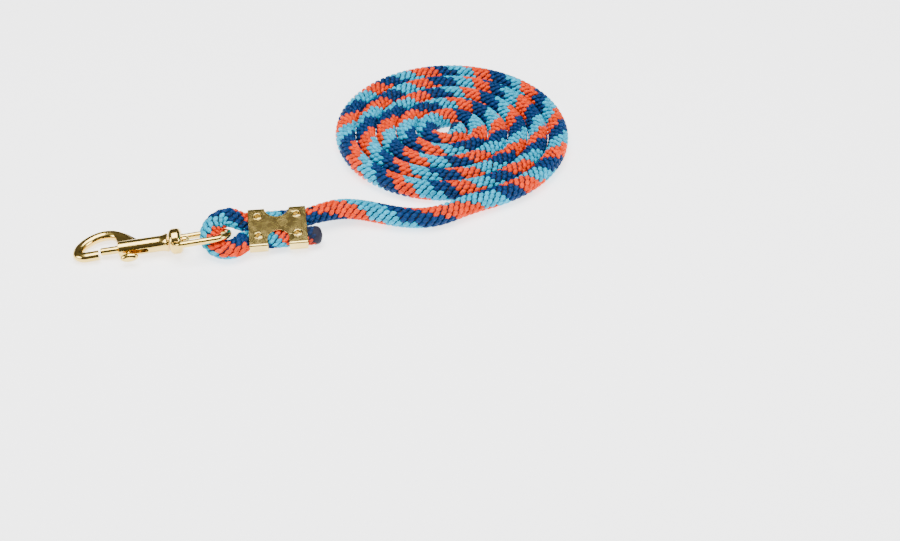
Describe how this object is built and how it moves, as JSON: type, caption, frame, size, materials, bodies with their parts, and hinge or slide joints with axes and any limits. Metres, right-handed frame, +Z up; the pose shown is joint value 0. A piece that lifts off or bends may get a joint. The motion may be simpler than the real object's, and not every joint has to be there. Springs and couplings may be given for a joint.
{
  "type": "horse lead rope",
  "caption": "Braided lead rope wound in a flat coil, with a brass swivel bolt snap held by a brass rope clamp.",
  "frame": {"origin": "under the middle of the hardware and clamped bight, on the surface that the lead rope lies on", "axes": "+X from the snap's hook towards the rope, +Y away from the thumb knob, +Z up"},
  "size_m": [0.3933, 0.2311, 0.0248],
  "materials": {
    "cast_brass": "polished cast brass",
    "sheet_brass": "bright brassed sheet",
    "spring_wire": "bright drawn wire",
    "rope": "solid-braided synthetic yarn in orange, turquoise and navy"
  },
  "bodies": {
    "rope": {"rope_clamp": "sheet_brass", "rope_bight": "rope", "rope_lead": "rope", "rope_coil": "rope"},
    "eye": {"swivel_eye": "cast_brass"},
    "snap": {"snap_body": "cast_brass", "swivel_stud": "cast_brass", "bolt_spring": "spring_wire"},
    "bolt": {"snap_bolt": "cast_brass", "thumb_knob": "cast_brass"}
  },
  "joints": [
    {"name": "eye_swing", "type": "hinge", "parent": "rope", "child": "eye", "pos_m": [0.0231, -0.0027, 0.01365], "axis": [0.0808, 0.3746, -0.9237], "range_deg": [0, 32]},
    {"name": "snap_swivel", "type": "hinge", "parent": "eye", "child": "snap", "pos_m": [0.0231, -0.0027, 0.01365], "axis": [0.9962, 0, 0.0872], "continuous": true},
    {"name": "bolt_slide", "type": "slide", "parent": "snap", "child": "bolt", "axis": [0.9962, 0, 0.0872], "range_m": [0, 0.01], "stiffness_N_per_m": 250, "springref_m": -0.004, "deforming": ["bolt_spring"]}
  ]
}
